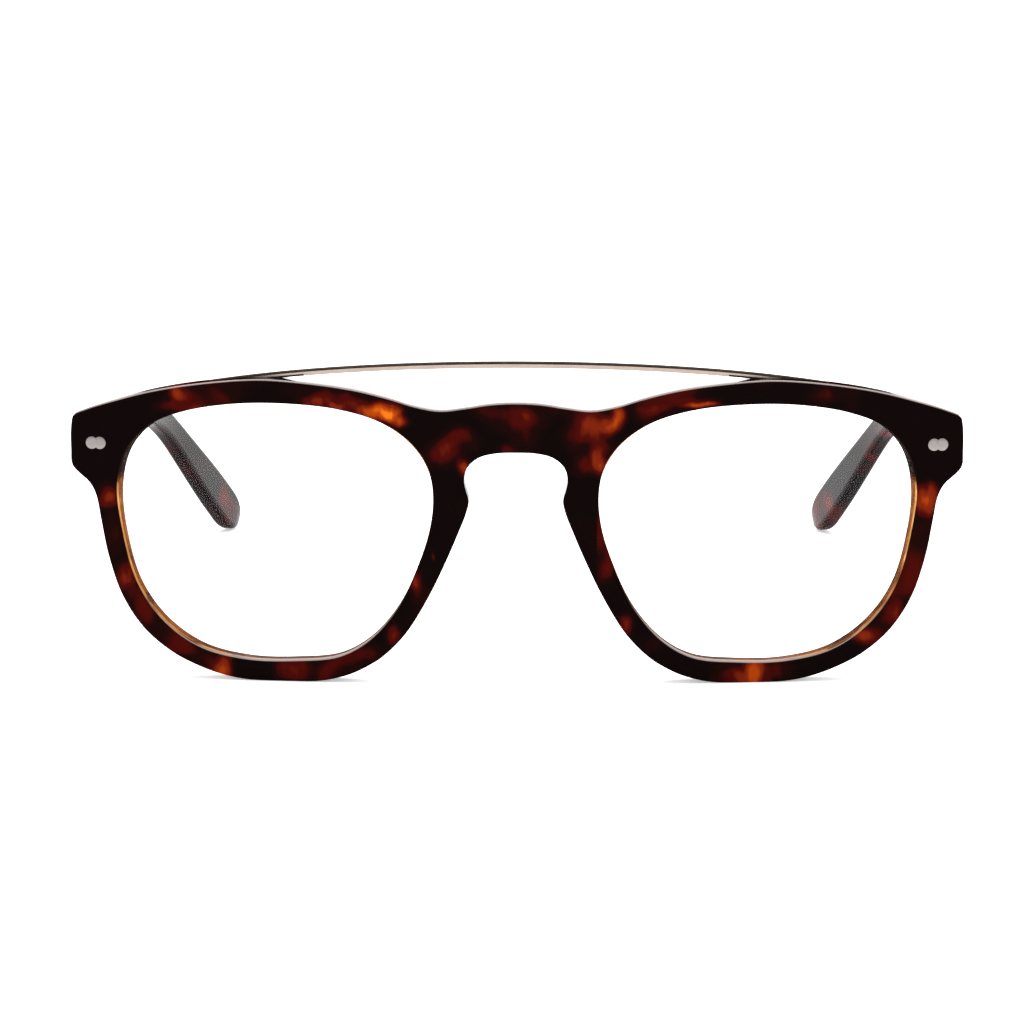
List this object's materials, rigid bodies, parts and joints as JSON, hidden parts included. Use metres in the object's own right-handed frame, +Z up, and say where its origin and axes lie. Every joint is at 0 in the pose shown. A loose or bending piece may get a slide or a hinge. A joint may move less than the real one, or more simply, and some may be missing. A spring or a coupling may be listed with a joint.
{
  "type": "eyeglasses",
  "caption": "Full-rim acetate eyeglasses with a keyhole bridge, a thin metal brow bar above it, clear lenses and temples that fold on barrel hinges.",
  "frame": {"origin": "on the surface the eyeglasses rest on, under the middle of the overall box: the rims' flat bottoms lie in the plane z = 0", "axes": "+X towards the wearer's left, +Y from the front towards the ear-pieces, +Z up"},
  "size_m": [0.1442, 0.1442, 0.0514],
  "materials": {
    "tortoise_acetate": "polished dark tortoise acetate: near-black brown with red-brown and amber patches",
    "pad_acetate": "polished dark brown acetate nose pad",
    "champagne_metal": "satin champagne-coloured metal bar with a darker top edge",
    "clear_lens": "clear uncoloured lens, polished, with a bevelled edge",
    "rivet_metal": "flat satin silver-grey rivet metal, polished flush",
    "hinge_steel": "satin nickel-coloured hinge steel"
  },
  "bodies": {
    "front": {"front_frame": "tortoise_acetate", "brow_bar": "champagne_metal", "lens_left": "clear_lens", "lens_right": "clear_lens", "nose_pad_left": "pad_acetate", "nose_pad_right": "pad_acetate", "rivet_shield_left": "rivet_metal", "rivet_shield_right": "rivet_metal", "front_hinge_left": "hinge_steel", "front_hinge_right": "hinge_steel", "hinge_screw_left": "hinge_steel", "hinge_screw_right": "hinge_steel"},
    "temple_left": {"temple_left": "tortoise_acetate", "temple_hinge_left": "hinge_steel", "core_wire_left": "hinge_steel", "temple_rivet_left_front": "rivet_metal", "temple_rivet_left_rear": "rivet_metal"},
    "temple_right": {"temple_right": "tortoise_acetate", "temple_hinge_right": "hinge_steel", "core_wire_right": "hinge_steel", "temple_rivet_right_front": "rivet_metal", "temple_rivet_right_rear": "rivet_metal"}
  },
  "joints": [
    {"name": "temple_left_fold", "type": "hinge", "parent": "front", "child": "temple_left", "pos_m": [0.06485, -0.06, 0.0375], "axis": [0, 0.0872, 0.9962], "range_deg": [0, 86]},
    {"name": "temple_right_fold", "type": "hinge", "parent": "front", "child": "temple_right", "pos_m": [-0.06485, -0.06, 0.0375], "axis": [0, -0.0872, -0.9962], "range_deg": [0, 70]}
  ]
}
